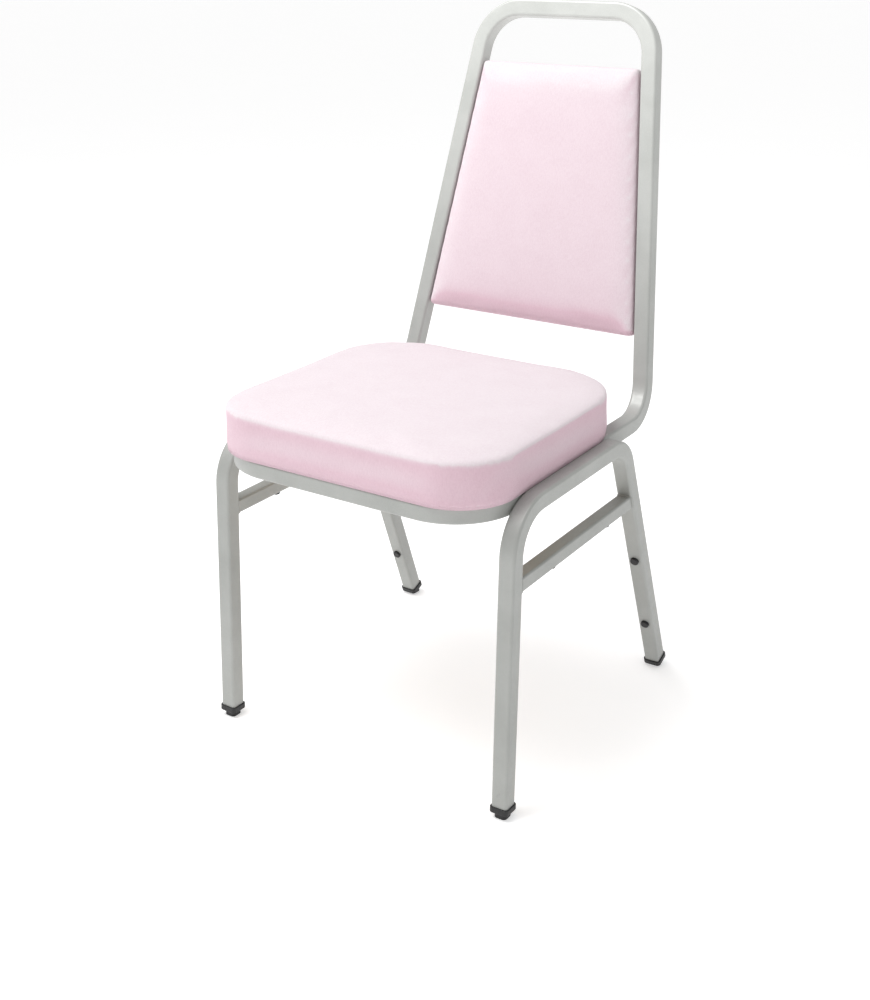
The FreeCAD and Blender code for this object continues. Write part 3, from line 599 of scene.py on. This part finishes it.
def make_back_cushion():
    base = PANEL_FRONT - LAP
    outline = back_outline(0.2 * MM)
    cushion = slab("back_cushion", outline, base, PAD_FRONT - 1 * MM, BACK_EDGE)
    stuff(cushion, BACK_VOXEL, PRESSURE, 3 * MM, PAD_BASE + 1 * MM, sideways=0.2)
    co = coordinates(cushion.data)
    wide = np.max(co[:, 0])
    narrow = wide - TAPER * (PAD_TOP - PAD_BOTTOM)
    across = co[:, 0] / np.interp(co[:, 1], [PAD_BOTTOM, PAD_TOP], [wide, narrow])
    along = (co[:, 1] - (PAD_BOTTOM + PAD_TOP) / 2) / ((PAD_TOP - PAD_BOTTOM) / 2)
    crown = np.clip(1 - across ** 2, 0, 1) ** 0.55 * np.clip(1 - along ** 6, 0, 1) ** 0.5
    lift = np.clip((co[:, 2] - base) / (PAD_FRONT - base), 0, 1)
    co[:, 2] += BACK_CROWN * crown * lift ** 3
    store(cushion.data, co)
    subdivide(cushion)
    cushion.data.transform(back_frame())
    dress(cushion, "upholstery_fabric")
    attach(cushion, ROOT)
    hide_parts("back_cover", "back_foam")


def make_rear_panel():
    thick = PANEL_FRONT - PANEL_BACK
    panel = slab("rear_panel_cloth", back_outline(0.3 * MM), -LAP, thick - 0.5 * MM, PANEL_EDGE)
    stuff(panel, BACK_VOXEL, PANEL_PRESSURE, 1.5 * MM, 2 * MM, sideways=0.2)
    subdivide(panel)
    face_back = Matrix.Translation((0, 0, PANEL_FRONT)) @ Matrix.Scale(-1, 4, (0, 0, 1))
    panel.data.transform(back_frame() @ face_back)
    panel.data.flip_normals()
    dress(panel, "upholstery_fabric")
    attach(panel, ROOT)
    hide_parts("rear_panel")


# ------------------------------------------------------------------ welds and staples


class Tubes:
    """Collects round rods that follow polylines, and makes one piece of them."""

    def __init__(self, sides=8, step=0.55 * MM):
        self.verts, self.faces, self.sides, self.step = [], [], sides, step

    def add(self, points, radius, ripple=0.0, closed=False):
        """A rod along the points. ripple is how much its radius swells and shrinks, as a weld bead's does."""
        points = [Vector(p) for p in points]
        if closed:
            points.append(points[0])
        path = []
        for a, b in zip(points, points[1:]):
            parts = max(1, int((b - a).length / self.step))
            path += [a.lerp(b, k / parts) for k in range(parts)]
        if not closed:
            path.append(points[-1])
        count = len(path)
        start = len(self.verts)
        for i, p in enumerate(path):
            if closed:
                behind, ahead = path[i - 1], path[(i + 1) % count]
            else:
                behind, ahead = path[max(i - 1, 0)], path[min(i + 1, count - 1)]
            along = (ahead - behind).normalized()
            side = along.orthogonal().normalized()
            other = along.cross(side)
            size = radius * (1 - ripple + ripple * abs(math.sin(math.pi * i * self.step / (2.4 * MM))))
            if not closed:
                size *= min(1.0, 0.25 + min(i, count - 1 - i) * self.step / radius * 0.75)
            for k in range(self.sides):
                turn = 2 * math.pi * k / self.sides
                self.verts.append(p + (side * math.cos(turn) + other * math.sin(turn)) * size)
        self._skin(start, count, closed)

    def _skin(self, start, count, closed):
        sides = self.sides
        for i in range(count if closed else count - 1):
            j = (i + 1) % count
            a, b = start + i * sides, start + j * sides
            shift = self._nearest(a, b)
            for k in range(sides):
                m = (k + 1) % sides
                self.faces.append((a + k, a + m, b + (m + shift) % sides, b + (k + shift) % sides))
        if not closed:
            self.faces.append(tuple(start + k for k in reversed(range(sides))))
            self.faces.append(tuple(start + (count - 1) * sides + k for k in range(sides)))

    def _nearest(self, a, b):
        """Which vertex of the next ring lies beside the first of this one."""
        first = self.verts[a]
        return min(range(self.sides), key=lambda k: (self.verts[b + k] - first).length)

    def finish(self, name, slot):
        piece = new_piece(name, slot, self.verts, self.faces)
        mesh = bmesh.new()
        mesh.from_mesh(piece.data)
        bmesh.ops.recalc_face_normals(mesh, faces=mesh.faces)
        mesh.to_mesh(piece.data)
        mesh.free()
        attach(piece, ROOT)


def rounded_square(half, corner, turns=4):
    """Points round a square whose corners are rounded, in its own plane."""
    points = []
    for quarter, signs in enumerate(((1, 1), (-1, 1), (-1, -1), (1, -1))):
        centre = Vector(signs) * (half - corner)
        for k in range(turns + 1):
            angle = math.radians(90 * (quarter + k / turns))
            points.append(centre + Vector((math.cos(angle), math.sin(angle))) * corner)
    return points


BEAD, BEAD_RIPPLE = 1.5 * MM, 0.22
FRONT_LEG_SLOPE, REAR_LEG_SLOPE = 0.038, -0.4
STITCH_STARTS, STITCH_LENGTH = (-165 * MM, -92 * MM, -12 * MM), 26 * MM
TAB_SPACING, TAB_HALF_BEAD = 110 * MM, 13 * MM


def make_welds():
    """Beads where the tubes of the frame meet."""
    rail_low, rail_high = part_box("rear_cross_rail")
    tube = rail_high.z - rail_low.z
    middle = (rail_low + rail_high) / 2
    welds = Tubes()
    for side in (-1, 1):
        stretcher = "left_stretcher" if side < 0 else "right_stretcher"
        low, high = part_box(stretcher)
        centre = (low + high) / 2
        half = (high.z - low.z) / 2
        for end, slope in ((low.y, FRONT_LEG_SLOPE), (high.y, REAR_LEG_SLOPE)):
            square = rounded_square(half, 3 * MM)
            loop = [(centre.x + p.x, end + slope * (p.y + half), centre.z + p.y) for p in square]
            welds.add(loop, BEAD, BEAD_RIPPLE, closed=True)
        end_x = rail_high.x * side
        loop = [(end_x, middle.y + p.x, middle.z + p.y) for p in rounded_square(tube / 2, 3.5 * MM)]
        under = [p for p in loop if p[2] < rail_high.z - 3.4 * MM]
        under.sort(key=lambda p: math.atan2(p[1] - middle.y, -(p[2] - middle.z)))
        welds.add(under, BEAD, BEAD_RIPPLE)
        seam_x = (rail_high.x + tube + 0.1 * MM) * side
        seam_z = rail_low.z + 0.9 * MM
        for start in STITCH_STARTS:
            stitch = [(seam_x, start, seam_z), (seam_x, start + STITCH_LENGTH, seam_z)]
            welds.add(stitch, 2.1 * MM, BEAD_RIPPLE)
        joint_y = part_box("seat_front_tube")[1].y
        rail_x = (rail_high.x + tube / 2) * side
        square = rounded_square(tube / 2 - 0.25 * MM, 3.5 * MM)
        ring = [(rail_x + p.x, joint_y, middle.z + p.y) for p in square]
        welds.add(ring, 0.7 * MM, 0.15, closed=True)
    tab_low, tab_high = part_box("seat_fixing_tabs")
    for y in (tab_low.y, tab_high.y):
        for side in (-1, 1):
            x = TAB_SPACING * side
            ends = [(x - TAB_HALF_BEAD, y, tab_low.z), (x + TAB_HALF_BEAD, y, tab_low.z)]
            welds.add(ends, 1.3 * MM, BEAD_RIPPLE)
    welds.finish("weld_beads", "frame_paint")


STAPLE_INSET, STAPLE_PITCH, STAPLE_HALF, STAPLE_WIRE = 19 * MM, 24 * MM, 5.5 * MM, 0.45 * MM


def make_staples():
    """Staples that hold the turned edge under the back of the seat, where no rail hides them."""
    low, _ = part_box("seat_cover")
    rail_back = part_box("rear_cross_rail")[1].y
    line = seat_outline(STAPLE_INSET)[0]
    staples = Tubes(sides=6, step=2 * MM)
    travelled, last = 0.0, line[0]
    for i, p in enumerate(line):
        travelled += (p - last).length
        last = p
        if p.y < rail_back + 12 * MM or abs(p.x) > 172 * MM or travelled < STAPLE_PITCH:
            continue
        travelled = 0.0
        run = (line[(i + 1) % len(line)] - line[i - 1]).normalized()
        turn = Matrix.Rotation(0.35 * math.sin(i * 1.7), 2) @ run
        z = low.z - 1.3 * MM
        a, b = p - turn * STAPLE_HALF, p + turn * STAPLE_HALF
        up = z + 1.2 * MM
        staples.add([(a.x, a.y, up), (a.x, a.y, z), (b.x, b.y, z), (b.x, b.y, up)], STAPLE_WIRE)
    staples.finish("seat_staples", "zinc_plated_steel")


# -------------------------------------------------------------------- studio, camera


FLOOR_SIZE = 120.0


def make_floor():
    """One plane, so large that its edges stay out of the picture."""
    half = FLOOR_SIZE / 2
    corners = [(-half, -half, 0), (half, -half, 0), (half, half, 0), (-half, half, 0)]
    mesh = bpy.data.meshes.new("floor")
    mesh.from_pydata(corners, [], [(0, 1, 2, 3)])
    mesh.materials.append(floor_material())
    plane = bpy.data.objects.new("floor", mesh)
    bpy.context.scene.collection.objects.link(plane)


def make_studio():
    """A pale floor, an even white surround and one large soft lamp high on the chair's front left."""
    make_floor()
    scene = bpy.context.scene
    world = bpy.data.worlds.new("studio")
    scene.world = world
    world.use_nodes = True
    background = world.node_tree.nodes["Background"]
    background.inputs["Color"].default_value = (1.0, 1.0, 1.0, 1.0)
    background.inputs["Strength"].default_value = 0.62
    place = Vector((-0.72, -0.76, 2.6))
    lamp = bpy.data.lights.new("key", "AREA")
    lamp.shape = "SQUARE"
    lamp.size = 1.4
    lamp.energy = 50.0
    light = bpy.data.objects.new("key", lamp)
    light.location = place
    light.rotation_euler = (Vector((0, 0, 0.5)) - place).to_track_quat("-Z", "Y").to_euler()
    scene.collection.objects.link(light)


def make_camera():
    """A camera at the viewing angle of a photographer who stands to the chair's front right."""
    azimuth, elevation = math.radians(32.99), math.radians(22.94)
    sensor = 36.0
    data = bpy.data.cameras.new("camera")
    data.sensor_width = sensor
    data.lens = sensor * 1.35114
    camera = bpy.data.objects.new("camera", data)
    camera.location = (0.8950, -1.4399, 1.0016)
    level = math.cos(elevation)
    ahead = Vector((-math.sin(azimuth) * level, math.cos(azimuth) * level, -math.sin(elevation)))
    camera.rotation_euler = ahead.to_track_quat("-Z", "Y").to_euler()
    bpy.context.scene.collection.objects.link(camera)
    bpy.context.scene.camera = camera


finish_cad_nodes()
make_seat_cushion()
make_back_cushion()
make_rear_panel()
make_welds()
make_staples()
make_studio()
make_camera()
bpy.context.scene.view_settings.view_transform = "Standard"
